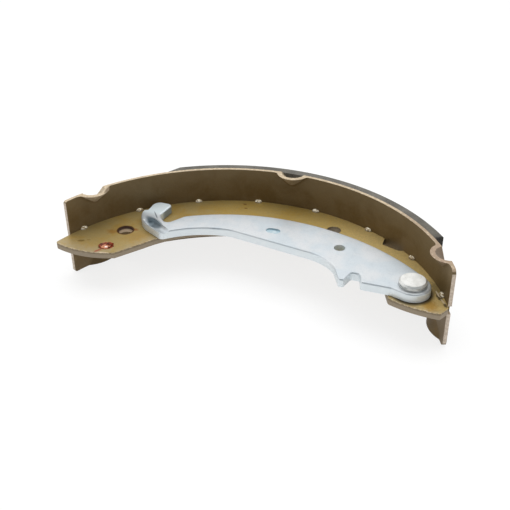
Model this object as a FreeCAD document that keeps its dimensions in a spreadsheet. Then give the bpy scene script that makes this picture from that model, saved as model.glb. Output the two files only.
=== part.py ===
"""Rear drum brake shoe with a riveted park brake lever.

The shoe is drawn from the drum centre: +Z along the drum axis, +Y through the middle of
the shoe, +X towards the lever's pivot, the web's mid-plane at zero height. The placements
then move every piece to the shoe's own frame, which stands on the table's lower edge.
"""
import FreeCAD, Part
import math
import os
import Sketcher

Vector = FreeCAD.Vector
Placement = FreeCAD.Placement
Rotation = FreeCAD.Rotation

SIZES = {
    # friction lining
    "drum_radius": 101.5,
    "lining_thk": 4.4,
    "lining_margin": 0.4,
    "lining_toe_angle": 36.2,
    "lining_heel_angle": 53.2,
    "lining_lead_in": 7.7,
    "lining_land": 0.5,
    "lining_edge": 0.2,
    # shoe table, the curved rim
    "table_thk": 1.6,
    "table_width": 38.8,
    "table_half_angle": 68.7,
    "table_toe_corner": 1.4,
    "table_heel_corner": 2.6,
    "table_slot_height": 4.0,
    "table_slot_depth": 2.5,
    "table_slot_drop": 0.5,
    # nibs pressed inwards on both edges of the table, deep above and shallow below
    "nib_reach": 6.0,
    "nib_radius": 8.0,
    "nib_tip_radius": 0.4,
    "nib_blend": 1.6,
    "nib_toe_angle": 59.0,
    "nib_toe_depth": 6.4,
    "nib_mid_angle": 1.2,
    "nib_mid_depth": 5.7,
    "nib_heel_angle": 60.8,
    "nib_heel_depth": 5.4,
    "low_nib_radius": 16.0,
    "low_nib_depth": 2.4,
    # web plate
    "web_thk": 3.0,
    "web_rise": 0.4,
    "toe_angle": 74.0,
    "toe_nose": 1.4,
    "toe_face_radius": 41.5,
    "toe_corner_inset": 34.33,
    "toe_corner_angle": 66.3,
    "toe_corner_round": 0.6,
    "arch_inset": 50.5,
    "arch_x": 9.43,
    "arch_y": 11.92,
    "arch_toe_angle": 58.0,
    "arch_heel_angle": 15.3,
    "heel_angle": 69.5,
    "heel_nose": 0.8,
    "heel_face_radius": 54.0,
    "heel_corner_inset": 10.11,
    "heel_corner_angle": 71.96,
    "heel_corner_round": 1.0,
    "lobe_corner_inset": 29.32,
    "lobe_corner_angle": 63.33,
    "lobe_side_angle": 22.4,
    "lobe_corner_round": 2.0,
    "lobe_blend": 8.0,
    "relief_toe_angle": 33.6,
    "relief_deep_angle": 35.6,
    "relief_shallow_angle": 40.6,
    "relief_heel_angle": 41.4,
    "relief_deep": 4.6,
    "relief_shallow": 1.9,
    "relief_corner": 1.2,
    "strut_slot_inset": 27.0,
    "strut_slot_angle": 40.1,
    "strut_slot_width": 6.0,
    "strut_slot_corner": 1.0,
    "spring_hole_dia": 7.0,
    "spring_hole_angle": 54.45,
    "spring_hole_inset": 14.5,
    "hold_hole_dia": 6.8,
    "hold_hole_angle": 19.7,
    "hold_hole_inset": 11.3,
    "mark_dia": 7.0,
    "mark_depth": 0.5,
    "mark_inset": 26.56,
    "mark_angle": 65.15,
    # weld beads in the corner of web and table
    "bead_count": 8,
    "bead_pitch": 18.25,
    "bead_length": 3.8,
    "bead_leg": 1.3,
    # pivot pin, riveted into the web
    "pivot_inset": 18.27,
    "pivot_angle": 61.434,
    "pin_dia": 8.0,
    "pin_play": 0.05,
    "pin_head_dia": 12.05,
    "pin_head_top_dia": 10.6,
    "pin_head_rim": 1.5,
    "pin_head_height": 2.3,
    "pin_head_lift": 0.1,
    "pin_tail_dia": 10.6,
    "pin_tail_end_dia": 7.6,
    "pin_tail_height": 1.6,
    # park brake lever, drawn from its pivot
    "lever_thk": 4.0,
    "lever_gap": 0.25,
    "lever_edge": 0.85,
    "eye_radius": 7.8,
    "eye_flat_drop": 5.5,
    "eye_flat_x": 8.1,
    "back_x": 68.6,
    "back_rise": 35.1,
    "back_toe_radius": 89.0,
    "belly_x": 52.6,
    "belly_drop": 12.3,
    "belly_radius": 23.0,
    "belly_angle": 9.6,
    "flank_x": 30.6,
    "flank_angle": 26.6,
    "flank_blend": 4.0,
    "tooth_drop": 6.2,
    "tooth_corner": 1.0,
    "notch_x": 24.8,
    "notch_top_width": 3.9,
    "notch_mouth_width": 7.4,
    "notch_rise": 0.5,
    "notch_corner": 1.3,
    "front_x": 87.6,
    "front_drop": 17.9,
    "front_radius": 44.0,
    "front_blend": 15.0,
    "lever_hole_dia": 5.2,
    "lever_hole_x": 36.5,
    "lever_hole_rise": 18.2,
    "press_mark_length": 7.0,
    "press_mark_width": 4.4,
    "press_mark_depth": 0.6,
    "press_mark_x": 69.7,
    "press_mark_rise": 22.8,
    # hook at the lever's free end, drawn from the centre of its throat
    "throat_x": 120.7,
    "throat_rise": 17.0,
    "throat_radius": 2.4,
    "throat_back_angle": 58.0,
    "throat_tab_angle": 48.0,
    "back_corner": 4.0,
    "tab_root_x": 5.6,
    "tab_root_blend": 2.5,
    "tab_inner_x": 3.9,
    "tab_outer_x": 13.5,
    "tab_rise": 14.8,
    "tab_fall": 0.8,
    "tab_inner_corner": 2.2,
    "tab_outer_corner": 4.0,
    "shoulder_rise": 5.5,
    "shoulder_drop": 1.0,
    "shoulder_width": 1.9,
    "shoulder_inner_corner": 0.8,
    "shoulder_outer_corner": 1.4,
    "jaw_radius": 16.0,
    "jaw_knee_x": 8.8,
    "jaw_knee_drop": 7.1,
    "jaw_knee_blend": 4.0,
    "jaw_angle": 28.6,
    "jaw_tip_corner": 2.4,
    # cable seat, coined into the hook
    "seat_x": 7.4,
    "seat_drop": 4.5,
    "seat_heading_angle": 33.0,
    "seat_climb_angle": 9.0,
    "seat_length": 15.0,
    "seat_nose_radius": 2.6,
    "seat_run_radius": 3.2,
}

doc = FreeCAD.newDocument("BrakeShoe")
sheet = doc.addObject("Spreadsheet::Sheet", "Sizes")
for row, (name, value) in enumerate(SIZES.items(), start=1):
    sheet.set("A%d" % row, name)
    sheet.set("B%d" % row, str(value))
    sheet.setAlias("B%d" % row, name)
doc.recompute()


def size(name):
    return float(sheet.get(name))


def cell(name):
    return "Sizes." + name


# Radii that follow from the drum inwards.
TABLE_OUTER = size("drum_radius") - size("lining_thk")
TABLE_INNER = TABLE_OUTER - size("table_thk")
TABLE_OUTER_CELLS = "(Sizes.drum_radius - Sizes.lining_thk)"
TABLE_INNER_CELLS = "(Sizes.drum_radius - Sizes.lining_thk - Sizes.table_thk)"
NEAR = 0.02


# Plane geometry


def polar(radius, angle):
    """Point at a drum radius, its angle in degrees from +Y towards +X."""
    turn = math.radians(angle)
    return Vector(radius * math.sin(turn), radius * math.cos(turn), 0)


def heading(angle):
    """Unit vector, its angle in degrees from +X towards +Y."""
    turn = math.radians(angle)
    return Vector(math.cos(turn), math.sin(turn), 0)


def meet_circle(centre, radius, start, direction, side):
    """Where a line crosses a circle: side 1 is the later crossing, -1 the earlier."""
    foot = start + direction * (centre - start).dot(direction)
    half = math.sqrt(radius ** 2 - (foot - centre).Length ** 2)
    return foot + direction * half * side


def meet_lines(start, direction, other, other_direction):
    """Where two lines cross."""
    across = direction.x * other_direction.y - direction.y * other_direction.x
    gap = other - start
    along = (gap.x * other_direction.y - gap.y * other_direction.x) / across
    return start + direction * along


def meet_circles(centre, radius, other, other_radius, side):
    """Where two circles cross, left of the way between their centres for side 1."""
    way = other - centre
    span = way.Length
    along = (radius ** 2 - other_radius ** 2 + span ** 2) / (2 * span)
    out = Vector(-way.y, way.x, 0) * (side / span)
    return centre + way * (along / span) + out * math.sqrt(radius ** 2 - along ** 2)


def centre_of(start, end, radius, side):
    """Centre of an arc through two points, left of the way from start to end for side 1."""
    chord = end - start
    left = Vector(-chord.y, chord.x, 0).normalize()
    return (start + end) * 0.5 + left * side * math.sqrt(radius ** 2 - chord.Length ** 2 / 4)


def tangent_from(point, centre, radius, side):
    """Touching point of one tangent from a point to a circle."""
    away = point - centre
    swing = math.degrees(math.acos(radius / away.Length)) * side
    return centre + heading(math.degrees(math.atan2(away.y, away.x)) + swing) * radius


def line(start, end):
    return Part.LineSegment(start, end)


def arc(start, end, centre):
    """Arc about a centre from start to end, the short way round."""
    out = ((start + end) * 0.5 - centre).normalize() * (start - centre).Length
    return Part.Arc(start, centre + out, end)


# Sketches and features


def new_body(name, label):
    body = doc.addObject("PartDesign::Body", name)
    body.Label = label
    return body


def origin_item(body, role):
    for item in body.Origin.OriginFeatures:
        if item.Role == role:
            return item
    raise LookupError(role)


def new_sketch(body, name, offset=None, plane="XY_Plane"):
    sketch = body.newObject("Sketcher::SketchObject", name)
    sketch.AttachmentSupport = [(origin_item(body, plane), "")]
    sketch.MapMode = "FlatFace"
    if offset is not None:
        sketch.AttachmentOffset = offset
    return sketch


def add_loop(sketch, pieces):
    """A closed outline of pieces drawn head to tail, each joined to the next."""
    indices = [sketch.addGeometry(piece, False) for piece in pieces]
    for index, after in zip(indices, indices[1:] + indices[:1]):
        ends = [(mine, other) for mine in (1, 2) for other in (1, 2)]
        mine, other = min(ends, key=lambda pair: (
            sketch.getPoint(index, pair[0]) - sketch.getPoint(after, pair[1])).Length)
        sketch.addConstraint(Sketcher.Constraint("Coincident", index, mine, after, other))


def add_circle(sketch, centre, diameter):
    """A circle of a diameter given as an expression, held at its centre."""
    index = sketch.addGeometry(Part.Circle(centre, Vector(0, 0, 1), 1), False)
    sketch.addConstraint(Sketcher.Constraint("DistanceX", -1, 1, index, 3, centre.x))
    sketch.addConstraint(Sketcher.Constraint("DistanceY", -1, 1, index, 3, centre.y))
    held = sketch.addConstraint(Sketcher.Constraint("Diameter", index, 2))
    sketch.setExpression("Constraints[%d]" % held, diameter)


def add_pad(body, name, sketch, length, symmetric=True):
    pad = body.newObject("PartDesign::Pad", name)
    pad.Profile = sketch
    pad.SideType = "Symmetric" if symmetric else "One side"
    pad.setExpression("Length", length)
    return pad


def cut_through(body, name, sketch):
    pocket = body.newObject("PartDesign::Pocket", name)
    pocket.Profile = sketch
    pocket.SideType = "Symmetric"
    pocket.Type = "ThroughAll"
    return pocket


def cut_depth(body, name, sketch, length, symmetric=False):
    pocket = body.newObject("PartDesign::Pocket", name)
    pocket.Profile = sketch
    pocket.SideType = "Symmetric" if symmetric else "One side"
    pocket.setExpression("Length", length)
    return pocket


def add_fillet(body, name, names, radius):
    base = body.Tip
    fillet = body.newObject("PartDesign::Fillet", name)
    fillet.Base = (base, names)
    fillet.setExpression("Radius", radius)
    doc.recompute()
    return fillet


def edges_where(body, test):
    doc.recompute()
    return ["Edge%d" % number for number, edge in enumerate(body.Tip.Shape.Edges, start=1)
            if test(edge)]


def samples(edge):
    first, last = edge.ParameterRange
    return [edge.valueAt(first + (last - first) * part) for part in (0.0, 0.25, 0.5, 0.75, 1.0)]


def upright_at(point):
    """Test for the upright edge that stands over a point of the plan."""
    def test(edge):
        return all(math.hypot(spot.x - point.x, spot.y - point.y) < NEAR for spot in samples(edge))
    return test


def round_corner(body, name, point, radius):
    add_fillet(body, name, edges_where(body, upright_at(point)), cell(radius))


def drum_angle(spot):
    return math.degrees(math.atan2(spot.x, spot.y))


# Shoe table: a bent strip with nibs pressed into both edges


def drum_spot(name, side=1):
    """Place given by an inset from the lining's face and an angle from the shoe's middle."""
    return polar(size("drum_radius") - size(name + "_inset"), side * size(name + "_angle"))


def build_table():
    body = new_body("ShoeTable", "shoe_rim")
    half = size("table_half_angle")
    top = size("table_width") / 2
    sketch = new_sketch(body, "TableOutline")
    corners = [polar(radius, angle) for radius, angle in (
        (TABLE_INNER, -half), (TABLE_INNER, half), (TABLE_OUTER, half), (TABLE_OUTER, -half))]
    zero = Vector(0, 0, 0)
    add_loop(sketch, [arc(corners[0], corners[1], zero), line(corners[1], corners[2]),
                      arc(corners[2], corners[3], zero), line(corners[3], corners[0])])
    add_pad(body, "TableBlank", sketch, cell("table_width"))

    places = (("Toe", -size("nib_toe_angle"), "nib_toe_depth"),
              ("Mid", size("nib_mid_angle"), "nib_mid_depth"),
              ("Heel", size("nib_heel_angle"), "nib_heel_depth"))
    nibs = [(name + "Upper", 1, angle, size("nib_radius"), size(depth))
            for name, angle, depth in places]
    nibs += [(name + "Lower", -1, angle, size("low_nib_radius"), size("low_nib_depth"))
             for name, angle, depth in places]
    reach = size("nib_reach")
    tip = size("nib_tip_radius")

    def add_cone(kind, name, side, angle, radius, depth, inset, beyond):
        """Cone of a nib's surface, its radius less by an inset, its wide end beyond the edge."""
        slope = depth / reach
        wide = radius - inset + slope * beyond
        narrow = max(tip, radius - depth - max(inset, size("table_thk") / 2))
        cone = body.newObject(kind, name)
        cone.Radius1 = narrow if side > 0 else wide
        cone.Radius2 = wide if side > 0 else narrow
        cone.Height = (wide - narrow) / slope
        axis = polar(TABLE_INNER - depth + radius, angle)
        axis.z = top + beyond - (wide - narrow) / slope if side > 0 else -top - beyond
        cone.Placement = Placement(axis, Rotation())

    for name, side, angle, radius, depth in nibs:
        add_cone("PartDesign::AdditiveCone", name + "Nib", side, angle, radius, depth, 0, 0)
    sketch = new_sketch(body, "TableSkin")
    add_circle(sketch, zero, "2 * %s" % TABLE_OUTER_CELLS)
    add_circle(sketch, zero, "2 * (%s + 2 * Sizes.low_nib_radius)" % TABLE_OUTER_CELLS)
    cut_through(body, "TrimToSkin", sketch)

    for name, side, angle, radius, depth in nibs:
        wall = size("table_thk") * math.hypot(1, depth / reach)
        add_cone("PartDesign::SubtractiveCone", name + "Hollow", side, angle, radius, depth,
                 wall, tip)

    def nib_root(edge):
        spots = samples(edge)
        inside = all(abs(math.hypot(spot.x, spot.y) - TABLE_INNER) < NEAR for spot in spots)
        return inside and top - reach - NEAR < abs(spots[2].z) < top - NEAR

    add_fillet(body, "NibBlend", edges_where(body, nib_root), cell("nib_blend"))

    def end_corner(angle):
        """Test for the edges across the table at the two corners of one end."""
        def test(edge):
            return all(abs(drum_angle(spot) - angle) < NEAR and abs(abs(spot.z) - top) < NEAR
                       for spot in samples(edge))
        return test

    add_fillet(body, "ToeCorners", edges_where(body, end_corner(-half)),
               cell("table_toe_corner"))
    add_fillet(body, "HeelCorners", edges_where(body, end_corner(half)),
               cell("table_heel_corner"))

    drop = Vector(0, 0, size("web_rise") - size("table_slot_drop"))
    sketch = new_sketch(body, "EndSlotOutline", Placement(drop, Rotation()))
    slot_angle = half - math.degrees(size("table_slot_depth") / TABLE_INNER)
    past_angle = half + math.degrees(size("table_slot_depth") / TABLE_INNER)
    around = size("table_thk")
    corners = [polar(TABLE_INNER - around, slot_angle), polar(TABLE_OUTER + around, slot_angle),
               polar(TABLE_OUTER + around, past_angle), polar(TABLE_INNER - around, past_angle)]
    add_loop(sketch, [line(start, end) for start, end in zip(corners, corners[1:] + corners[:1])])
    cut_depth(body, "EndSlot", sketch, cell("table_slot_height"), symmetric=True)
    return body


# Lining: a bonded pad with a ramp at its toe end


def build_lining():
    body = new_body("Lining", "lining")
    outer = size("drum_radius")
    toe = -size("lining_toe_angle")
    heel = size("lining_heel_angle")
    ramp_end = toe + math.degrees(size("lining_lead_in") / outer)
    zero = Vector(0, 0, 0)
    corners = [polar(TABLE_OUTER, toe), polar(TABLE_OUTER, heel), polar(outer, heel),
               polar(outer, ramp_end), polar(TABLE_OUTER + size("lining_land"), toe)]
    sketch = new_sketch(body, "LiningOutline")
    add_loop(sketch, [arc(corners[0], corners[1], zero), line(corners[1], corners[2]),
                      arc(corners[2], corners[3], zero), line(corners[3], corners[4]),
                      line(corners[4], corners[0])])
    add_pad(body, "LiningPad", sketch, "Sizes.table_width - 2 * Sizes.lining_margin")

    def outer_rim(edge):
        return all(abs(math.hypot(spot.x, spot.y) - outer) < NEAR for spot in samples(edge)) and \
            abs(drum_angle(samples(edge)[0]) - drum_angle(samples(edge)[4])) > 1

    names = edges_where(body, outer_rim)
    chamfer = body.newObject("PartDesign::Chamfer", "LiningEdges")
    chamfer.Base = (doc.getObject("LiningPad"), names)
    chamfer.setExpression("Size", cell("lining_edge"))
    return body


# Web: a stamped plate with weld beads along the table


def build_web():
    body = new_body("ShoeWeb", "shoe_web")
    zero = Vector(0, 0, 0)
    blank = TABLE_INNER + size("bead_leg")
    toe_tip = polar(TABLE_INNER, -size("toe_angle"))
    heel_tip = polar(TABLE_INNER, size("heel_angle"))
    toe_corner = drum_spot("toe_corner", -1)
    arch_centre = Vector(-size("arch_x"), size("arch_y"), 0)
    arch_radius = size("drum_radius") - size("arch_inset")
    arch_toe = arch_centre + polar(arch_radius, -size("arch_toe_angle"))
    arch_heel = arch_centre + polar(arch_radius, size("arch_heel_angle"))
    lobe_corner = drum_spot("lobe_corner")
    heel_corner = drum_spot("heel_corner")
    bridge = meet_lines(arch_heel, heading(-size("arch_heel_angle")),
                        lobe_corner, heading(90 + size("lobe_side_angle")))
    toe_centre = centre_of(toe_tip, toe_corner, size("toe_face_radius"), 1)
    toe_blank = meet_circles(zero, blank, toe_centre, size("toe_face_radius"), 1)
    heel_centre = centre_of(lobe_corner, heel_corner, size("heel_face_radius"), 1)
    heel_blank = meet_circle(zero, blank, heel_corner, (heel_tip - heel_corner).normalize(), 1)
    sketch = new_sketch(body, "WebOutline")
    add_loop(sketch, [
        arc(toe_blank, toe_corner, toe_centre), line(toe_corner, arch_toe),
        arc(arch_toe, arch_heel, arch_centre), line(arch_heel, bridge),
        line(bridge, lobe_corner), arc(lobe_corner, heel_corner, heel_centre),
        line(heel_corner, heel_blank), arc(heel_blank, toe_blank, zero)])
    add_pad(body, "WebPlate", sketch, cell("web_thk"))

    last = (size("bead_count") - 1) * size("bead_pitch") / 2
    beads = []
    for name, side in (("BeadAbove", 1), ("BeadBelow", -1)):
        bead = body.newObject("PartDesign::AdditiveEllipsoid", name)
        bead.setExpression("Radius1", cell("bead_leg"))
        bead.setExpression("Radius2", "Sizes.bead_length / 2")
        bead.setExpression("Radius3", cell("bead_leg"))
        centre = polar(TABLE_INNER - size("bead_leg") / 4, last)
        centre.z = side * size("web_thk") / 2
        bead.Placement = Placement(centre, Rotation(Vector(0, 0, 1), -last))
        beads.append(bead)
    pattern = body.newObject("PartDesign::PolarPattern", "BeadRow")
    pattern.Originals = beads
    pattern.Axis = (origin_item(body, "Z_Axis"), [""])
    pattern.setExpression("Angle", "(Sizes.bead_count - 1) * Sizes.bead_pitch")
    pattern.setExpression("Occurrences", cell("bead_count"))
    body.Tip = pattern
    sketch = new_sketch(body, "WebSkin")
    add_circle(sketch, zero, "2 * %s" % TABLE_INNER_CELLS)
    add_circle(sketch, zero, "2 * (%s + 4 * Sizes.bead_leg)" % TABLE_INNER_CELLS)
    cut_through(body, "TrimToTable", sketch)

    deep = TABLE_INNER - size("relief_deep")
    shallow = TABLE_INNER - size("relief_shallow")
    mouth = [polar(TABLE_INNER, size("relief_toe_angle")), polar(deep, size("relief_deep_angle")),
             polar(shallow, size("relief_shallow_angle")),
             polar(TABLE_INNER, size("relief_heel_angle"))]
    outside = [mouth[3] * 1.1, mouth[0] * 1.1]
    corners = mouth + outside
    sketch = new_sketch(body, "ReliefOutline")
    add_loop(sketch, [line(start, end) for start, end in zip(corners, corners[1:] + corners[:1])])
    cut_through(body, "Relief", sketch)

    half_slot = Vector(size("strut_slot_width") / 2, 0, 0)
    slot_top = drum_spot("strut_slot")
    slot_low = Vector(slot_top.x, lobe_corner.y, 0)
    corners = [slot_low - half_slot, slot_low + half_slot, slot_top + half_slot,
               slot_top - half_slot]
    slot_corners = corners[2:]
    sketch = new_sketch(body, "StrutSlotOutline")
    add_loop(sketch, [line(start, end) for start, end in zip(corners, corners[1:] + corners[:1])])
    cut_through(body, "StrutSlot", sketch)

    sketch = new_sketch(body, "WebHoles")
    add_circle(sketch, polar(TABLE_INNER - size("spring_hole_inset"), -size("spring_hole_angle")),
               cell("spring_hole_dia"))
    add_circle(sketch, polar(TABLE_INNER - size("hold_hole_inset"), size("hold_hole_angle")),
               cell("hold_hole_dia"))
    add_circle(sketch, drum_spot("pivot"), cell("pin_dia"))
    cut_through(body, "Holes", sketch)

    ball = body.newObject("PartDesign::SubtractiveSphere", "ToeMark")
    ball_radius = (size("mark_dia") ** 2 / 4 + size("mark_depth") ** 2) / (2 * size("mark_depth"))
    ball.Radius = ball_radius
    above = Vector(0, 0, size("web_thk") / 2 + ball_radius - size("mark_depth"))
    ball.Placement = Placement(drum_spot("mark", -1) + above, Rotation())

    round_corner(body, "ToeNose", toe_tip, "toe_nose")
    round_corner(body, "ToeCorner", toe_corner, "toe_corner_round")
    round_corner(body, "HeelNose", heel_tip, "heel_nose")
    round_corner(body, "HeelCorner", heel_corner, "heel_corner_round")
    round_corner(body, "LobeCorner", lobe_corner, "lobe_corner_round")
    round_corner(body, "LobeBlend", bridge, "lobe_blend")
    round_corner(body, "ReliefDeep", mouth[1], "relief_corner")
    round_corner(body, "ReliefShallow", mouth[2], "relief_corner")
    round_corner(body, "SlotHeel", slot_corners[0], "strut_slot_corner")
    round_corner(body, "SlotToe", slot_corners[1], "strut_slot_corner")
    return body


# Pivot pin: turned head over the lever, shank through the web, tail peened below it


def build_pin():
    body = new_body("PivotPin", "pivot_pin")
    shank = size("pin_dia") / 2
    under = -size("web_thk") / 2
    seat = size("web_thk") / 2 + size("lever_gap") + size("lever_thk") + size("pin_head_lift")
    tail = under - size("pin_tail_height")
    outline = [(0, tail), (size("pin_tail_end_dia") / 2, tail),
               (size("pin_tail_dia") / 2, under - size("pin_tail_height") / 3),
               (size("pin_tail_dia") / 2, under), (shank, under), (shank, seat),
               (size("pin_head_dia") / 2, seat),
               (size("pin_head_dia") / 2, seat + size("pin_head_rim")),
               (size("pin_head_top_dia") / 2, seat + size("pin_head_height")),
               (0, seat + size("pin_head_height"))]
    points = [Vector(across, up, 0) for across, up in outline]
    sketch = new_sketch(body, "PinProfile", plane="XZ_Plane")
    add_loop(sketch, [line(start, end) for start, end in zip(points, points[1:] + points[:1])])
    turned = body.newObject("PartDesign::Revolution", "PinTurned")
    turned.Profile = sketch
    turned.ReferenceAxis = (sketch, ["V_Axis"])
    turned.Angle = 360
    return body


# Lever: blanked outline, notch for the strut, hook and coined cable seat for the cable


def build_lever():
    body = new_body("ParkLever", "park_lever")
    pivot = Vector(0, 0, 0)
    eye = size("eye_radius")

    # Back: two arcs that share a level tangent at the highest point.
    rise = size("back_rise")
    top = Vector(-size("back_x"), rise, 0)
    back_radius = (top.Length ** 2 - eye ** 2) / (2 * (rise - eye))
    back_centre = top - Vector(0, back_radius, 0)
    eye_top = (pivot - back_centre).normalize() * eye
    toe_centre = top - Vector(0, size("back_toe_radius"), 0)

    # Hook, from the back round the throat and the tab to the jaw; the front's highest point
    # lies below the back's.
    throat = Vector(-size("throat_x"), size("throat_rise"), 0)
    back_wall = heading(size("throat_back_angle"))
    throat_back = throat + Vector(back_wall.y, -back_wall.x, 0) * size("throat_radius")
    back_corner = meet_circle(toe_centre, size("back_toe_radius"), throat_back, back_wall, 1)
    tab_wall = heading(180 - size("throat_tab_angle"))
    throat_tab = throat - Vector(tab_wall.y, -tab_wall.x, 0) * size("throat_radius")
    tab_root = meet_lines(throat_tab, tab_wall, throat - Vector(size("tab_root_x"), 0, 0),
                          heading(90))
    tab_inner = throat + Vector(-size("tab_inner_x"), size("tab_rise") - size("tab_fall"), 0)
    tab_outer = throat + Vector(-size("tab_outer_x"), size("tab_rise"), 0)
    shoulder = throat + Vector(-size("tab_outer_x"), size("shoulder_rise"), 0)
    shoulder_end = shoulder - Vector(size("shoulder_width"), size("shoulder_drop"), 0)
    front_radius = size("front_radius")
    front_centre = Vector(-size("front_x"), rise - size("front_drop") - front_radius, 0)
    jaw_knee = throat - Vector(size("jaw_knee_x"), size("jaw_knee_drop"), 0)
    jaw_tip = meet_circle(front_centre, front_radius, jaw_knee, heading(-size("jaw_angle")), -1)
    jaw_centre = centre_of(shoulder_end, jaw_knee, size("jaw_radius"), 1)

    # Belly: a straight between the front arc and the arc that leads down to the tooth.
    belly_centre = Vector(-size("belly_x"), -size("belly_drop"), 0)
    slope = heading(180 - size("belly_angle"))
    belly_start = belly_centre + Vector(slope.y, -slope.x, 0) * size("belly_radius")
    front_end = meet_circle(front_centre, front_radius, belly_start, slope, 1)
    flank_foot = Vector(-size("flank_x"), -size("tooth_drop"), 0)
    flank = heading(90 + size("flank_angle"))
    belly_end = meet_circle(belly_centre, size("belly_radius"), flank_foot, flank, 1)

    # Notch for the strut, then the flat that runs into the eye.
    notch_top = size("notch_rise")
    notch_x = -size("notch_x")
    half_top = size("notch_top_width") / 2
    half_mouth = size("notch_mouth_width") / 2
    flat = -size("eye_flat_drop")
    tooth_end = Vector(notch_x - half_mouth, -size("tooth_drop"), 0)
    notch_toe = Vector(notch_x - half_top, notch_top, 0)
    notch_heel = Vector(notch_x + half_top, notch_top, 0)
    flat_start = Vector(notch_x + half_mouth, flat, 0)
    flat_end = Vector(-size("eye_flat_x"), flat, 0)
    eye_low = tangent_from(flat_end, pivot, eye, 1)

    sketch = new_sketch(body, "LeverOutline")
    add_loop(sketch, [
        Part.Arc(eye_low, Vector(eye, 0, 0), eye_top), arc(eye_top, top, back_centre),
        arc(top, back_corner, toe_centre), line(back_corner, throat_back),
        arc(throat_back, throat_tab, throat), line(throat_tab, tab_root),
        line(tab_root, tab_inner), line(tab_inner, tab_outer), line(tab_outer, shoulder),
        line(shoulder, shoulder_end), arc(shoulder_end, jaw_knee, jaw_centre),
        line(jaw_knee, jaw_tip), arc(jaw_tip, front_end, front_centre),
        line(front_end, belly_start),
        arc(belly_start, belly_end, belly_centre), line(belly_end, flank_foot),
        line(flank_foot, tooth_end), line(tooth_end, notch_toe), line(notch_toe, notch_heel),
        line(notch_heel, flat_start), line(flat_start, flat_end), line(flat_end, eye_low)])
    add_pad(body, "LeverBlank", sketch, cell("lever_thk"), symmetric=False)

    for name, point, radius in (
            ("BackCorner", back_corner, "back_corner"),
            ("TabRoot", tab_root, "tab_root_blend"),
            ("TabInner", tab_inner, "tab_inner_corner"),
            ("TabOuter", tab_outer, "tab_outer_corner"),
            ("ShoulderInner", shoulder, "shoulder_inner_corner"),
            ("ShoulderOuter", shoulder_end, "shoulder_outer_corner"),
            ("JawKnee", jaw_knee, "jaw_knee_blend"),
            ("JawTip", jaw_tip, "jaw_tip_corner"),
            ("FrontBlend", front_end, "front_blend"),
            ("FlankBlend", belly_end, "flank_blend"),
            ("ToothToe", flank_foot, "tooth_corner"),
            ("ToothHeel", tooth_end, "tooth_corner"),
            ("NotchToe", notch_toe, "notch_corner"),
            ("NotchHeel", notch_heel, "notch_corner"),
            ("FlatStart", flat_start, "tooth_corner")):
        round_corner(body, name, point, radius)

    def upper_edge(edge):
        return all(abs(spot.z - size("lever_thk")) < NEAR for spot in samples(edge))

    add_fillet(body, "LeverEdge", edges_where(body, upper_edge), cell("lever_edge"))

    sketch = new_sketch(body, "LeverHoles")
    add_circle(sketch, pivot, "Sizes.pin_dia + 2 * Sizes.pin_play")
    add_circle(sketch, Vector(-size("lever_hole_x"), size("lever_hole_rise"), 0),
               cell("lever_hole_dia"))
    cut_through(body, "LeverBores", sketch)

    end = size("press_mark_width") / 2
    half = size("press_mark_length") / 2 - end
    lift = Placement(Vector(-size("press_mark_x"), size("press_mark_rise"), size("lever_thk")),
                     Rotation())
    sketch = new_sketch(body, "PressMarkOutline", lift)
    corners = [Vector(-half, -end, 0), Vector(half, -end, 0), Vector(half, end, 0),
               Vector(-half, end, 0)]
    right_tip = Vector(half + end, 0, 0)
    left_tip = Vector(-half - end, 0, 0)
    add_loop(sketch, [line(corners[0], corners[1]), Part.Arc(corners[1], right_tip, corners[2]),
                      line(corners[2], corners[3]), Part.Arc(corners[3], left_tip, corners[0])])
    cut_depth(body, "PressMark", sketch, cell("press_mark_depth"))

    # Cable seat: the path of a round-nosed tool that climbs out through the front wall.
    nose = size("seat_nose_radius")
    start = throat + Vector(-size("seat_x"), -size("seat_drop"), size("lever_thk"))
    turn = Rotation(Vector(0, 0, 1), -size("seat_heading_angle")).multiply(
        Rotation(Vector(0, 1, 0), -size("seat_climb_angle")))
    sketch = new_sketch(body, "SeatProfile", Placement(start, turn))
    run = Vector(size("seat_length"), 0, 0)
    left = Vector(-nose, 0, 0)
    crown = Vector(0, nose, 0)
    far = run + Vector(0, size("seat_run_radius"), 0)
    shoulder_spot = Vector(-nose * math.sqrt(0.5), nose * math.sqrt(0.5), 0)
    add_loop(sketch, [Part.Arc(left, shoulder_spot, crown), line(crown, far), line(far, run),
                      line(run, left)])
    seat = body.newObject("PartDesign::Groove", "CableSeat")
    seat.Profile = sketch
    seat.ReferenceAxis = (sketch, ["H_Axis"])
    seat.Angle = 360
    return body


table = build_table()
lining = build_lining()
web = build_web()
pin = build_pin()
lever = build_lever()
bodies = [web, table, lining, lever, pin]
doc.recompute()

# The frame: the middle of the shoe's box in plan, at the height of the table's lower edge.
web_lift = Vector(0, 0, size("web_rise"))
lever_lift = Vector(0, 0, size("web_thk") / 2 + size("lever_gap"))
web.Placement = Placement(web_lift, Rotation())
pin.Placement = Placement(drum_spot("pivot") + web_lift, Rotation())
lever.Placement = Placement(drum_spot("pivot") + web_lift + lever_lift, Rotation())
doc.recompute()
box = FreeCAD.BoundBox()
for body in bodies:
    box.add(body.Shape.optimalBoundingBox(False))
first_row = len(SIZES) + 1
for row, (name, value) in enumerate((("frame_x", -(box.XMin + box.XMax) / 2),
                                     ("frame_y", -(box.YMin + box.YMax) / 2),
                                     ("frame_z", size("table_width") / 2)), start=first_row):
    sheet.set("A%d" % row, name)
    sheet.set("B%d" % row, repr(value))
    sheet.setAlias("B%d" % row, name)
doc.recompute()
for body in (web, table, lining):
    body.setExpression("Placement.Base.x", cell("frame_x"))
    body.setExpression("Placement.Base.y", cell("frame_y"))
for body in (table, lining):
    body.setExpression("Placement.Base.z", cell("frame_z"))
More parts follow.
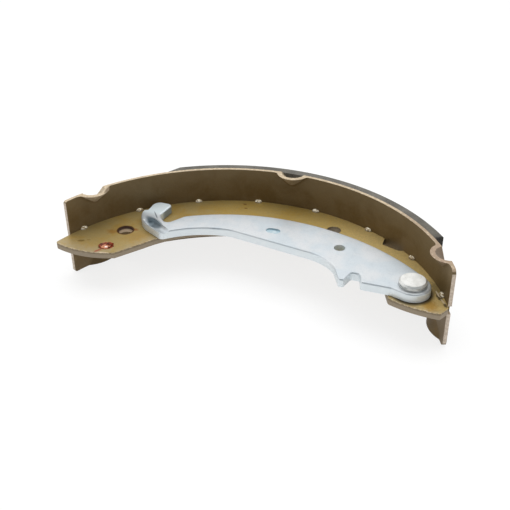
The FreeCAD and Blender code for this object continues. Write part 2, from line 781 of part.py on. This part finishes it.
for body in (pin, lever):
    body.setExpression("Placement.Base.x", "Sizes.frame_x + (Sizes.drum_radius"
                       " - Sizes.pivot_inset) * sin(Sizes.pivot_angle * 1 deg)")
    body.setExpression("Placement.Base.y", "Sizes.frame_y + (Sizes.drum_radius"
                       " - Sizes.pivot_inset) * cos(Sizes.pivot_angle * 1 deg)")
for body in (web, pin):
    body.setExpression("Placement.Base.z", "Sizes.frame_z + Sizes.web_rise")
lever.setExpression("Placement.Base.z",
                    "Sizes.frame_z + Sizes.web_rise + Sizes.web_thk / 2 + Sizes.lever_gap")
doc.recompute()

for item in doc.Objects:
    if "Invalid" in item.State or "Error" in item.State:
        raise RuntimeError("%s did not build: %s" % (item.Label, item.State))
for body in bodies:
    shape = body.Shape
    if shape.isNull() or not shape.isValid() or len(shape.Solids) != 1:
        raise RuntimeError("%s is not one sound solid" % body.Label)

os.makedirs("parts", exist_ok=True)
for body in bodies:
    body.Shape.exportStep("parts/%s.step" % body.Label)
    print("%-12s volume %9.1f mm3" % (body.Label, body.Shape.Volume))
print("frame", [round(float(sheet.get(name)), 4) for name in ("frame_x", "frame_y", "frame_z")])
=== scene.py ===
"""Studio scene for the drum brake shoe: finishes, floor, lamp, surroundings and camera."""
import math

import bmesh
import bpy
from mathutils import Matrix, Vector


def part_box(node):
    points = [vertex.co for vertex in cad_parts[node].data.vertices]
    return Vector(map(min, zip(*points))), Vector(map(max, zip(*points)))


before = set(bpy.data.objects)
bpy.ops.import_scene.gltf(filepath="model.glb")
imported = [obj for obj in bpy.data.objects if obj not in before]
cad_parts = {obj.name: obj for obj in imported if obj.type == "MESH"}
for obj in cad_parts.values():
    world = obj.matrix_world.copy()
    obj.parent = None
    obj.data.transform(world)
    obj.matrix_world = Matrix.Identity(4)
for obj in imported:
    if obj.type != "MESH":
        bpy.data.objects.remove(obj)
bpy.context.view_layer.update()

MM = 0.001
FLATTEN = 1.0e6               # drawn out this far, height no longer counts in a distance
PIVOT = (73.1, 39.8)          # the lever's pivot, mm from the drum centre
pin_low, pin_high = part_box("pivot_pin")
web_low, web_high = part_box("shoe_web")
DRUM = Vector((
    (pin_low[0] + pin_high[0]) / 2 - PIVOT[0] * MM,
    (pin_low[1] + pin_high[1]) / 2 - PIVOT[1] * MM,
    (web_low[2] + web_high[2]) / 2,
))


def tone(red, green, blue):
    """A colour as a screen shows it, 0 to 255, turned into the light it stands for."""
    parts = []
    for part in (red, green, blue):
        part = part / 255
        parts.append(part / 12.92 if part <= 0.04045 else ((part + 0.055) / 1.055) ** 2.4)
    return (*parts, 1.0)


# places on the web, mm from the drum centre
SPRING_HOLE = (-65.9, 47.1)
SPRING_HOLE_RING = (4.0, 4.45)
ARCH = (-9.43, 11.92)
ARCH_RADIUS = 51.0
TOE_FACE = (-77.5, 65.3)
TOE_FACE_RADIUS = 41.5
TOE_FACE_END = (-64.0, -58.0)
LOBE_FACE = (85.2, 82.3)
LOBE_FACE_RADIUS = 54.0
LOBE_FACE_START = (55.0, 62.0)
FAR_AWAY = 1000.0
# the painted shadow round the lever's eye, mm from the pivot
EYE_SHADOW_RING = (8.0, 10.2)
WEB_TOP = (1.0, 1.4)
BEAD_TOP = (1.55, 1.68)

# the dab of compound on the toe
DAB = (-68.0, 31.5)
DAB_TURN = 25.0
DAB_CORE = (-68.3, 31.0)
DAB_GLINT = (-67.9, 31.2)
DAB_PIT = (-66.0, 30.6)

# places on the rim, mm from the drum centre, and the angle of its cut ends
TABLE_OUTER = 97.1
TOE_NIB_FLANK = (-75.6, 52.6)
HEEL_NIB = (81.0, 44.0)
CUT_END = (math.radians(68.55), math.radians(68.68))

# angles round the lining: darker, torn, and crumbled towards the heel
# the crumbled end is black with dirt and painted shade
LINING_DARKER = (math.radians(38.0), math.radians(50.0))
LINING_TORN = (math.radians(50.5), math.radians(53.3))
LINING_CRUMBLED_AND_SHADED = (math.radians(52.6), math.radians(53.0))

# places on the lever, mm from the drum centre
JAW_CREASE = (-55.0, 58.5)
SEAT_TROUGH = (-53.4, 53.0)
SEAT_LIP = (-55.4, 51.1)
THROAT = (-50.2, 66.0)
PRESS_MARK = (3.4, 62.6)

# stains and painted shade on the web: centre, half sizes, turn, softness, strength, colour
STAINS = (
    ((-71.3, 44.0), (2.3, 2.0), 30.0, 0.6, 0.7, tone(150, 106, 40)),
    ((-61.6, 48.9), (1.3, 1.1), 10.0, 0.5, 0.8, tone(140, 84, 30)),
    ((-81.1, 31.7), (1.5, 0.8), 20.0, 0.5, 0.8, tone(112, 88, 40)),
    ((-78.2, 33.6), (1.0, 0.6), 0.0, 0.4, 0.6, tone(132, 104, 50)),
    ((-69.6, 26.6), (1.9, 0.7), 62.0, 0.4, 0.85, tone(156, 84, 62)),
    ((-66.3, 25.4), (2.6, 0.5), 10.0, 0.4, 0.8, tone(228, 208, 180)),
    ((-20.7, 89.6), (1.0, 0.6), 0.0, 0.4, 0.85, tone(98, 62, 26)),
    ((-18.6, 85.9), (0.8, 0.5), 0.0, 0.4, 0.8, tone(110, 72, 30)),
    ((81.5, 33.5), (5.0, 2.6), -60.0, 0.6, 0.75, tone(164, 122, 40)),
    ((72.0, 30.5), (6.0, 3.0), -30.0, 0.6, 0.35, tone(150, 124, 70)),
    ((-58.0, 44.5), (7.0, 3.5), 45.0, 0.7, 0.35, tone(150, 112, 46)),
    # painted shade between the lever's eye and the rim
    ((82.2, 46.2), (1.7, 4.6), 28.0, 0.6, 0.5, tone(70, 62, 40)),
    # painted shadow beneath the heel's weld flash
    ((84.4, 40.6), (1.0, 2.8), 28.0, 0.4, 0.85, tone(44, 34, 20)),
    ((83.7, 42.2), (0.45, 2.2), 30.0, 0.3, 0.9, tone(222, 206, 172)),
    ((86.6, 37.4), (0.45, 1.9), 34.0, 0.3, 0.9, tone(214, 196, 160)),
    # painted shadow beneath the weld flash
    ((88.0, 34.9), (0.7, 1.3), 34.0, 0.4, 0.8, tone(44, 34, 20)),
)

# colours of the web
GOLD = tone(170, 147, 93)
DEEP_GOLD = tone(170, 138, 68)
MIDDLE_GOLD = tone(196, 164, 84)
HEEL_GOLD = tone(214, 188, 126)
STRAW = tone(168, 154, 112)
GOLD_GRAIN = tone(112, 90, 46)
BORDER_SAND = tone(166, 150, 120)
BURR_HIGHLIGHT = tone(220, 204, 174)
HOLE_RING_LINE_AND_SHADE = tone(70, 40, 22)
HOLE_WALL_LIGHT = tone(190, 168, 140)
HOLE_WALL_TOP_SHADE = tone(60, 36, 22)
DAB_DARK = tone(70, 26, 14)
DAB_RED = tone(134, 56, 34)
DAB_COPPER = tone(196, 134, 104)
DAB_HIGHLIGHT = tone(250, 232, 224)
DAB_BLACK = tone(28, 12, 8)
SHEARED_PINK = tone(148, 134, 114)
SHEARED_OLIVE = tone(120, 105, 80)
SHEARED_STREAK = tone(140, 126, 104)
SHEARED_TOP_HIGHLIGHT = tone(206, 190, 160)
# the painted shadow's colour round the lever's eye
EYE_SHADOW_DARK = tone(58, 52, 38)
WELD_CREAM = tone(250, 242, 220)
WELD_TAN = tone(160, 138, 100)
WELD_SIDE_SHADE = tone(92, 76, 48)

# colours of the rim
OLIVE_BROWN = tone(118, 99, 67)
DEEP_BROWN = tone(106, 85, 48)
DUSTY_BROWN = tone(124, 107, 78)
BROWN_GRAIN = tone(76, 60, 34)
UPPER_BROWN = tone(128, 112, 84)
HOLLOW_SHADE = tone(40, 34, 26)
EDGE_SAND = tone(172, 154, 128)
EDGE_CREAM = tone(206, 189, 162)
EDGE_SPECK = tone(140, 118, 84)
EDGE_HEEL = tone(140, 118, 98)
EDGE_GLINT = tone(226, 210, 182)
NIB_FLANK_SHADE = tone(96, 78, 52)
NIB_PINK = tone(150, 126, 108)
CUT_SAND = tone(176, 160, 142)
CUT_PINK = tone(206, 192, 176)

# colours of the lining
SLATE = tone(90, 87, 81)
ASH = tone(108, 105, 98)
GRIT_GREY = tone(66, 64, 60)
FIBRE = tone(176, 168, 148)
PORE_BLACK = tone(34, 32, 30)
HEEL_GREY = tone(80, 76, 66)
TORN_GREY = tone(64, 62, 58)
CRUMB_BLACK_AND_SHADE = tone(24, 22, 20)

# colours of the lever
ZINC_BLUE = tone(198, 205, 209)
ZINC_WHITE = tone(208, 210, 211)
ZINC_BLOTCH = tone(186, 194, 199)
ZINC_GRAIN = tone(170, 177, 182)
MILKY_LIT_WHITE = tone(232, 240, 243)
MILKY_TAB = tone(208, 219, 223)
CREASE_SHADE = tone(78, 92, 98)
TROUGH_SHADE = tone(78, 96, 106)
LIP_HIGHLIGHT = tone(252, 254, 255)
THROAT_SHADE = tone(112, 126, 134)
MARK_BLUE = tone(150, 182, 194)
MARK_WORN = tone(196, 212, 218)

# colours of the pin
PIN_WHITE = tone(232, 231, 227)
PIN_GREY = tone(221, 220, 215)
PIN_SCUFF = tone(164, 160, 152)
PIN_FLANK_SHADE = tone(138, 142, 140)

# the yellow plating's sheen, the same on web and rim
PLATE_METAL = 0.45
PLATE_ROUGH = 0.46
PLATE_ROUGH_SPREAD = 0.16
GRAIN_DEPTH = 0.03

# studio
WHITE = (1.0, 1.0, 1.0, 1.0)
FLOOR_HALF = 2.0
FLOOR_COLOUR = (0.92, 0.92, 0.92, 1.0)
FLOOR_GLOW = 0.80
# polished metal mirrors a little more than white, and a dim side in one fixed direction
BRIGHT_SIDE = (1.22, 1.24, 1.26, 1.0)
DIM_SIDE = (0.10, 0.14, 0.16, 1.0)
DIM_DIRECTION = (0.289, -0.794, 0.535)
DIM_EDGE = (0.20, 0.75)
EVEN_LIGHT = (0.98, 0.99, 1.0, 1.0)
EVEN_STRENGTH = 0.68
LAMP_SIZE = (1.1, 0.8)
LAMP_POWER = 7.0
LAMP_PLACE = (-0.05, 0.16, 0.80)
LAMP_TILT = (-11.0, -4.0, 0.0)

# camera, its place in metres from the drum centre
SENSOR_WIDTH = 36.0
FOCAL_LENGTH = 58.01
CLIP_START = 0.01
CAMERA_PLACE = (0.10839, -0.25050, 0.20166)
CAMERA_TURN = 20.02
CAMERA_HEIGHT_ANGLE = 32.365
CAMERA_ROLL = -0.554


class Wire:
    """A value in a finish: sums written with it add the Math nodes they need."""

    def __init__(self, board, socket):
        self.board = board
        self.socket = socket

    def math(self, operation, *terms):
        return self.board.node("Math", {"operation": operation}, dict(enumerate(terms)))

    def __add__(self, other):
        return self.math("ADD", self, other)

    __radd__ = __add__

    def __mul__(self, other):
        return self.math("MULTIPLY", self, other)

    __rmul__ = __mul__

    def __sub__(self, other):
        return self.math("SUBTRACT", self, other)

    def __rsub__(self, other):
        return self.math("SUBTRACT", other, self)

    def __truediv__(self, other):
        return self.math("DIVIDE", self, other)

    def __rtruediv__(self, other):
        return self.math("DIVIDE", other, self)

    def __abs__(self):
        return self.math("ABSOLUTE", self)

    def over(self, low, high):
        """0 below low, 1 above high, smooth between them."""
        return self.board.node(
            "MapRange", {"interpolation_type": "SMOOTHSTEP"},
            {"Value": self, "From Min": low, "From Max": high})

    def under(self, low, high):
        """1 below low, 0 above high, smooth between them."""
        return 1.0 - self.over(low, high)


def either(*masks):
    """1 where any of the masks is 1."""
    neither = 1.0
    for mask in masks:
        neither = neither * (1.0 - mask)
    return 1.0 - neither


class Board:
    """A node tree, of a material or of the surroundings, and the one way to add to it."""

    def __init__(self, tree):
        self.tree = tree

    def node(self, kind, settings, values, out=0):
        """Any shader node: its settings first, then the values or wires of its sockets."""
        node = self.tree.nodes.new("ShaderNode" + kind)
        for key, value in settings.items():
            setattr(node, key, value)
        for key, value in values.items():
            self.join(value, node.inputs[key])
        return Wire(self, node.outputs[out])

    def join(self, value, socket):
        if isinstance(value, Wire):
            self.tree.links.new(value.socket, socket)
        else:
            socket.default_value = value

    def mix(self, share, first, second):
        return self.node(
            "Mix", {"data_type": "RGBA"}, {0: share, 6: first, 7: second}, 2)

    def seen_by(self, *rays):
        """1 for a ray of any of these kinds, 0 for others."""
        return sum(self.node("LightPath", {}, {}, f"Is {ray} Ray") for ray in rays)


class Finish(Board):
    """A material, measured in mm from the drum centre at the web's mid-plane."""

    def __init__(self, name, **fixed):
        self.material = bpy.data.materials.new(name)
        self.material.use_nodes = True
        super().__init__(self.material.node_tree)
        self.shader = self.tree.nodes["Principled BSDF"]
        self.set(**fixed)
        self.place = self.node("Mapping", {}, {
            "Vector": self.node("TexCoord", {}, {}, "Object"),
            "Location": tuple(-v / MM for v in DRUM),
            "Scale": (1 / MM, 1 / MM, 1 / MM)})
        self.x, self.y, self.z = self.split(self.place)

    def split(self, vector):
        return [self.node("SeparateXYZ", {}, {"Vector": vector}, axis) for axis in "XYZ"]

    def direction(self):
        """The three parts of the surface's direction, each -1 to 1."""
        return self.split(self.node("NewGeometry", {}, {}, "Normal"))

    def stretched(self, along, across, upward):
        """The place with its three directions drawn out, for a pattern with a grain."""
        return self.node("Mapping", {}, {"Vector": self.place, "Scale": (along, across, upward)})

    def cloud(self, size, detail=2.0, rough=0.5, place=None, bend=0.0):
        """Soft random shade, 0 to 1, with patches about size mm across."""
        return self.node("TexNoise", {}, {
            "Vector": place or self.place, "Scale": 1 / size, "Detail": detail,
            "Roughness": rough, "Distortion": bend}, "Fac")

    def ragged(self, size, reach):
        """A random shift, about reach mm from end to end, that frays an outline."""
        return (self.cloud(size) - 0.5) * reach

    def pits(self, size):
        """Distance from the nearest of many scattered points, in cells of size mm."""
        return self.node("TexVoronoi", {}, {
            "Vector": self.place, "Scale": 1 / size, "Randomness": 1.0}, "Distance")

    def radius(self, centre, stretch=(1.0, 1.0), turn=0.0):
        """Plan distance from a centre, in mm or in the half sizes of a turned oval."""
        flat = self.node("Mapping", {"vector_type": "TEXTURE"}, {
            "Vector": self.place, "Location": (centre[0], centre[1], 0.0),
            "Rotation": (0.0, 0.0, math.radians(turn)),
            "Scale": (stretch[0], stretch[1], FLATTEN)})
        return self.node("VectorMath", {"operation": "LENGTH"}, {0: flat}, "Value")

    def bearing(self):
        """Angle round the drum from the shoe's middle, positive towards the heel."""
        return self.x.math("ARCTAN2", self.x, self.y)

    def bump(self, height, depth, under=None):
        """Relief whose height is in steps of depth mm, over another one."""
        values = {"Height": height, "Strength": 1.0, "Distance": depth * MM}
        if under:
            values["Normal"] = under
        return self.node("Bump", {}, values, "Normal")

    def set(self, **values):
        """Give the shader's own sockets their values or wires."""
        for socket, value in values.items():
            self.join(value, self.shader.inputs[socket.replace("_", " ").title()])
        return self.material


def red_brown_dab(f):
    """The glossy compound on the toe: its outline and its colours, with a painted highlight."""
    outline = f.radius(DAB, (1.0, 0.86), DAB_TURN) + f.ragged(1.3, 1.8)
    core = f.radius(DAB_CORE, (1.0, 0.8), DAB_TURN) + f.ragged(0.9, 4.0)
    compound = f.mix(f.cloud(1.0).over(0.42, 0.58), DAB_DARK, DAB_RED)
    compound = f.mix(core.under(1.6, 2.4), compound, DAB_COPPER)
    # painted highlight on the glossy compound
    compound = f.mix(f.radius(DAB_GLINT).under(0.5, 0.9), compound, DAB_HIGHLIGHT)
    compound = f.mix(f.radius(DAB_PIT).under(0.45, 0.8), compound, DAB_BLACK)
    return outline.under(3.4, 4.0), compound


def plated_web():
    """Yellow passivated plate: golden top, sandy sheared edges, pale weld beads."""
    f = Finish("plated_web")
    up = f.direction()[2]
    patch = f.cloud(11.0, 3.0, 0.55, bend=0.6)
    mottle = f.cloud(1.6, 3.0, 0.6)
    grain = f.cloud(0.35, 3.0, 0.7)
    gold = f.mix(patch.over(0.40, 0.68), GOLD, DEEP_GOLD)
    gold = f.mix(f.x.over(-45.0, -25.0) * 0.5, gold, MIDDLE_GOLD)
    gold = f.mix(f.x.over(15.0, 45.0) * 0.7, gold, HEEL_GOLD)
    gold = f.mix(mottle.over(0.35, 0.75) * 0.35, gold, STRAW)
    gold = f.mix(grain.over(0.35, 0.75) * 0.35, gold, GOLD_GRAIN)
    # distances in from the cut outline: paler near it, painted highlight flecks on the burr
    arch = f.radius(ARCH) - ARCH_RADIUS
    toe = TOE_FACE_RADIUS - f.radius(TOE_FACE) + f.x.over(*TOE_FACE_END) * FAR_AWAY
    lobe = LOBE_FACE_RADIUS - f.radius(LOBE_FACE) + f.x.under(*LOBE_FACE_START) * FAR_AWAY
    border = either(arch.under(0.5, 6.0), toe.under(0.5, 8.0), lobe.under(0.5, 4.0))
    gold = f.mix(border * mottle.over(0.2, 0.6) * 0.7, gold, BORDER_SAND)
    burr_highlight = either(*(inset.under(0.4, 0.9) for inset in (arch, toe, lobe)))
    fleck = f.cloud(0.8, 2.0, 0.6).over(0.46, 0.56)
    gold = f.mix(burr_highlight * fleck * (0.4 + 0.5 * f.x.over(40.0, 60.0)), gold, BURR_HIGHLIGHT)
    for centre, half_sizes, turn, softness, strength, stain in STAINS:
        spot = f.radius(centre, half_sizes, turn) + f.ragged(1.1, 1.4)
        gold = f.mix(spot.under(1.0 - softness, 1.0 + softness) * strength, gold, stain)
    dab, compound = red_brown_dab(f)
    gold = f.mix(dab, gold, compound)
    # the spring hole: a dark ring on its edge, partly an edge line, partly painted shade in the
    # hole
    ring = (f.radius(SPRING_HOLE) + (mottle - 0.5) * 0.6).under(*SPRING_HOLE_RING)
    gold = f.mix(ring * 0.95, gold, HOLE_RING_LINE_AND_SHADE)
    # sheared edges: an olive rolled line over a pinkish band, painted highlight flecks on top
    streak = f.cloud(0.45, 3.0, 0.65, f.stretched(1.0, 1.0, 0.5))
    wave = f.z + f.ragged(2.2, 0.7)
    sheared = f.mix(wave.over(0.3, 0.8), SHEARED_PINK, SHEARED_OLIVE)
    sheared = f.mix(streak.over(0.35, 0.7) * 0.5, sheared, SHEARED_STREAK)
    sheared = f.mix(f.z.over(0.95, 1.2) * fleck * 0.5, sheared, SHEARED_TOP_HIGHLIGHT)
    # the hole's wall: painted shade at its top, and painted light on the paler wall below
    sheared = f.mix(ring, sheared, f.mix(f.z.over(-0.4, 0.5), HOLE_WALL_LIGHT, HOLE_WALL_TOP_SHADE))
    side = abs(up).under(0.35, 0.6)
    colour = f.mix(side, gold, sheared)
    # painted contact shadow round the lever's eye, on the web's top
    eye_shadow = f.radius(PIVOT).under(*EYE_SHADOW_RING) * f.z.over(*WEB_TOP)
    colour = f.mix(eye_shadow * 0.9, colour, EYE_SHADOW_DARK)
    # weld beads, with painted shade on their steep sides down to the foot
    bead = abs(f.z).over(*BEAD_TOP)
    flash = f.mix(f.cloud(0.9).over(0.40, 0.60), WELD_CREAM, WELD_TAN)
    flash = f.mix(abs(up).under(0.25, 0.75) * 0.75, flash, WELD_SIDE_SHADE)
    colour = f.mix(bead, colour, flash)
    relief = f.bump(f.cloud(4.0), 0.05, f.bump(grain, GRAIN_DEPTH))
    return f.set(
        base_color=colour, normal=relief,
        metallic=PLATE_METAL - side * 0.2 - dab * 0.3 - bead * 0.35,
        roughness=PLATE_ROUGH + mottle * PLATE_ROUGH_SPREAD + side * 0.10 - dab * 0.32)


def plated_rim():
    """The same plating on the curved table, paler on its sheared edges."""
    f = Finish("plated_rim")
    out_x, out_y, up = f.direction()
    reach = f.radius((0.0, 0.0))
    outward = (out_x * f.x + out_y * f.y) / reach
    patch = f.cloud(14.0, 3.0, 0.55, bend=0.5)
    mottle = f.cloud(1.8, 3.0, 0.6)
    grain = f.cloud(0.4, 3.0, 0.7)
    brown = f.mix(patch.over(0.38, 0.68), OLIVE_BROWN, DEEP_BROWN)
    brown = f.mix(mottle.over(0.35, 0.75) * 0.3, brown, DUSTY_BROWN)
    brown = f.mix(grain.over(0.4, 0.75) * 0.3, brown, BROWN_GRAIN)
    # lighter up the wall, darker down by the web: painted shade
    brown = f.mix(f.z.over(8.0, 20.0) * 0.4, brown, UPPER_BROWN)
    # the hollows behind the nibs face outwards, inside the table's outer face
    # painted shade darkens the hollows
    hollow_shade = outward.over(0.1, 0.3) * (TABLE_OUTER - reach).over(0.05, 0.4)
    brown = f.mix(hollow_shade * 0.9, brown, HOLLOW_SHADE)
    # sheared edges
    edge = abs(up).over(0.55, 0.8)
    streak = f.cloud(1.2, 3.0, 0.6)
    cream = f.mix(streak.over(0.3, 0.7), EDGE_SAND, EDGE_CREAM)
    cream = f.mix(f.cloud(0.5).over(0.52, 0.66) * 0.6, cream, EDGE_SPECK)
    cream = f.mix(f.x.over(45.0, 75.0) * 0.6, cream, EDGE_HEEL)
    cream = f.mix(f.cloud(1.6, 3.0, 0.65).over(0.55, 0.7) * 0.5, cream, EDGE_GLINT)
    # painted shade on the toe nib's sloping flank
    flank = f.radius(TOE_NIB_FLANK, (1.0, 2.6), 8.0)
    cream = f.mix(flank.under(1.2, 2.2) * 0.85, cream, NIB_FLANK_SHADE)
    nib = f.radius(HEEL_NIB, (1.0, 1.6))
    cream = f.mix(nib.under(4.5, 7.0) * 0.4, cream, NIB_PINK)
    # cut ends
    end = abs(f.bearing()).over(*CUT_END) * (1.0 - edge)
    pink = f.mix(streak.over(0.3, 0.7), CUT_SAND, CUT_PINK)
    colour = f.mix(end, f.mix(edge, brown, cream), pink)
    relief = f.bump(f.cloud(5.0), 0.06, f.bump(grain, GRAIN_DEPTH))
    return f.set(
        base_color=colour, normal=relief,
        metallic=PLATE_METAL - edge * 0.2 - end * 0.2,
        roughness=PLATE_ROUGH + mottle * PLATE_ROUGH_SPREAD + edge * 0.1)


def friction_stock():
    """Moulded friction lining: grey, gritty, with dark pores and a torn heel end."""
    f = Finish("friction_stock")
    grit = f.cloud(0.45, 4.0, 0.7)
    pore = f.pits(1.5).under(0.10, 0.24) * f.cloud(2.2, 1.0).over(0.45, 0.6)
    fibre = f.pits(0.8).under(0.10, 0.18) * f.cloud(1.4, 1.0).over(0.5, 0.62)
    grey = f.mix(f.cloud(7.0).over(0.3, 0.7), SLATE, ASH)
    grey = f.mix(grit.over(0.4, 0.75) * 0.45, grey, GRIT_GREY)
    grey = f.mix(fibre * 0.7, grey, FIBRE)
    grey = f.mix(pore, grey, PORE_BLACK)
    around = f.bearing() + (grit - 0.5) * 0.02
    grey = f.mix(around.over(*LINING_DARKER) * 0.35, grey, HEEL_GREY)
    grey = f.mix(around.over(*LINING_TORN) * 0.75, grey, TORN_GREY)
    # the heel end's black: dirt, and painted shade of the gap by the rim
    crumbled_and_shaded = around.over(*LINING_CRUMBLED_AND_SHADED) * grit.over(0.4, 0.55)
    grey = f.mix(crumbled_and_shaded * 0.8, grey, CRUMB_BLACK_AND_SHADE)
    relief = f.bump(1.0 - pore, 0.25, f.bump(grit, 0.08))
    return f.set(base_color=grey, roughness=0.78 + grit * 0.2, normal=relief)


def bright_zinc():
    """Bright zinc plating, satin and faintly blotched."""
    f = Finish("bright_zinc")
    blotch = f.cloud(5.0, 3.0, 0.6, bend=0.8)
    fine = f.cloud(0.5, 3.0, 0.65)
    zinc = f.mix(f.cloud(9.0).over(0.35, 0.65), ZINC_BLUE, ZINC_WHITE)
    zinc = f.mix(blotch.over(0.5, 0.75) * 0.35, zinc, ZINC_BLOTCH)
    zinc = f.mix(fine.over(0.45, 0.75) * 0.3, zinc, ZINC_GRAIN)
    # the hooked tab and the sheared sides: a milkier, duller plate, and painted light
    side = abs(f.direction()[2]).under(0.3, 0.6)
    tab = f.y.over(56.0, 62.0) * f.x.under(-50.0, -42.0)
    milky_and_lit = either(tab * 0.9, side * 0.6)
    zinc = f.mix(milky_and_lit, zinc, f.mix(tab * 0.8, MILKY_LIT_WHITE, MILKY_TAB))
    # painted shade on the hook: a crease across the jaw, the seat's trough, the throat's wall
    crease = f.radius(JAW_CREASE, (3.6, 0.32), -53.0) + (fine - 0.5) * 0.6
    zinc = f.mix(crease.under(0.6, 1.3) * (1.0 - side) * 0.75, zinc, CREASE_SHADE)
    trough = f.radius(SEAT_TROUGH, (6.4, 2.1), -29.0).under(0.6, 1.15)
    zinc = f.mix(trough * f.z.over(2.6, 3.4) * 0.8, zinc, TROUGH_SHADE)
    # painted highlight on the cable seat's lip
    lip = f.radius(SEAT_LIP, (4.4, 0.6), -25.5).under(0.7, 1.2)
    zinc = f.mix(lip * f.z.over(3.2, 3.8) * 0.9, zinc, LIP_HIGHLIGHT)
    throat = f.radius(THROAT, (6.0, 6.0)).under(0.7, 1.0) * side * f.y.over(60.0, 64.0)
    zinc = f.mix(throat * 0.8, zinc, THROAT_SHADE)
    # the floor of the pressed mark is bluer, with a worn streak
    mark = f.radius(PRESS_MARK, (4.2, 2.7), 2.0).under(0.85, 1.0) * f.z.under(5.35, 5.6)
    zinc = f.mix(mark * 0.8, zinc, f.mix(blotch.over(0.5, 0.65), MARK_BLUE, MARK_WORN))
    relief = f.bump(f.cloud(6.0), 0.04, f.bump(fine, 0.010))
    return f.set(
        base_color=zinc, normal=relief,
        metallic=0.62 + blotch * 0.1 - milky_and_lit * 0.35,
        roughness=0.26 + blotch * 0.12 + fine * 0.06 + milky_and_lit * 0.1)


def worn_pin():
    """The rivet's plating: dulled where the head was formed, painted shade on the flank."""
    f = Finish("worn_pin")
    scuff = f.cloud(0.9, 3.0, 0.65)
    patch = f.cloud(3.0)
    pale = f.mix(patch.over(0.35, 0.65), PIN_WHITE, PIN_GREY)
    pale = f.mix(scuff.over(0.55, 0.75) * 0.45, pale, PIN_SCUFF)
    # the head's flank: formed ridges, and painted shade on the side
    flank = abs(f.direction()[2]).under(0.35, 0.8)
    ridges = f.cloud(1.2, 2.0, 0.5, f.stretched(0.5, 0.5, 3.0)).over(0.42, 0.60)
    pale = f.mix(flank * (0.25 + ridges * 0.5), pale, PIN_FLANK_SHADE)
    return f.set(base_color=pale, normal=f.bump(scuff, 0.03),
                 metallic=0.6 + patch * 0.1, roughness=0.34 + scuff * 0.2)


def dress(node, material):
    """Give a CAD node its finish."""
    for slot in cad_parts[node].material_slots:
        slot.material = material


def lay_floor():
    """A plain pale floor: white to the camera and in polished metal, and it keeps the shadow."""
    mesh = bpy.data.meshes.new("floor")
    shape = bmesh.new()
    bmesh.ops.create_grid(shape, x_segments=1, y_segments=1, size=FLOOR_HALF)
    shape.to_mesh(mesh)
    shape.free()
    floor = bpy.data.objects.new("floor", mesh)
    bpy.context.scene.collection.objects.link(floor)
    f = Finish("pale_floor", base_color=FLOOR_COLOUR, roughness=0.9)
    glow = f.node("Emission", {}, {"Color": WHITE, "Strength": 1.0})
    blend = f.node("MixShader", {}, {
        0: f.seen_by("Camera", "Glossy", "Transmission") * FLOOR_GLOW,
        1: Wire(f, f.shader.outputs[0]), 2: glow})
    f.join(blend, f.tree.nodes["Material Output"].inputs["Surface"])
    mesh.materials.append(f.material)


def surround():
    """Surroundings: white to the camera, even as light, bright and dim sides in polish."""
    world = bpy.data.worlds.new("studio")
    bpy.context.scene.world = world
    world.use_nodes = True
    studio = Board(world.node_tree)
    studio.tree.nodes.remove(studio.tree.nodes["Background"])
    toward = studio.node("TexCoord", {}, {}, "Generated")
    facing = studio.node(
        "VectorMath", {"operation": "DOT_PRODUCT"}, {0: toward, 1: DIM_DIRECTION}, "Value")
    shade = studio.mix(facing.over(*DIM_EDGE), BRIGHT_SIDE, DIM_SIDE)
    polished = studio.node("Background", {}, {"Color": shade, "Strength": 1.0})
    even = studio.node("Background", {}, {"Color": EVEN_LIGHT, "Strength": EVEN_STRENGTH})
    backdrop = studio.node("Background", {}, {"Color": WHITE, "Strength": 1.0})
    light = studio.node("MixShader", {}, {
        0: studio.seen_by("Glossy"), 1: even, 2: polished})
    whole = studio.node("MixShader", {}, {
        0: studio.seen_by("Camera"), 1: light, 2: backdrop})
    studio.join(whole, studio.tree.nodes["World Output"].inputs["Surface"])


def hang_lamp():
    """A large soft lamp overhead, which polished metal doesn't mirror."""
    lamp = bpy.data.lights.new("overhead", "AREA")
    lamp.shape = "RECTANGLE"
    lamp.size, lamp.size_y = LAMP_SIZE
    lamp.energy = LAMP_POWER
    holder = bpy.data.objects.new("overhead", lamp)
    holder.location = LAMP_PLACE
    holder.rotation_euler = [math.radians(angle) for angle in LAMP_TILT]
    holder.visible_glossy = False
    bpy.context.scene.collection.objects.link(holder)


def place_camera():
    """The photograph's viewpoint: 20 degrees round to the right, 32 degrees up."""
    lens = bpy.data.cameras.new("camera")
    lens.sensor_width = SENSOR_WIDTH
    lens.lens = FOCAL_LENGTH
    lens.clip_start = CLIP_START
    eye = bpy.data.objects.new("camera", lens)
    turn = (Matrix.Rotation(math.radians(CAMERA_TURN), 4, "Z")
            @ Matrix.Rotation(math.radians(90 - CAMERA_HEIGHT_ANGLE), 4, "X")
            @ Matrix.Rotation(math.radians(CAMERA_ROLL), 4, "Z"))
    eye.matrix_world = Matrix.Translation(Vector(CAMERA_PLACE) + DRUM) @ turn
    bpy.context.scene.collection.objects.link(eye)
    bpy.context.scene.camera = eye


dress("shoe_web", plated_web())
dress("shoe_rim", plated_rim())
dress("lining", friction_stock())
dress("park_lever", bright_zinc())
dress("pivot_pin", worn_pin())
lay_floor()
surround()
hang_lamp()
place_camera()
bpy.context.scene.view_settings.view_transform = "Standard"
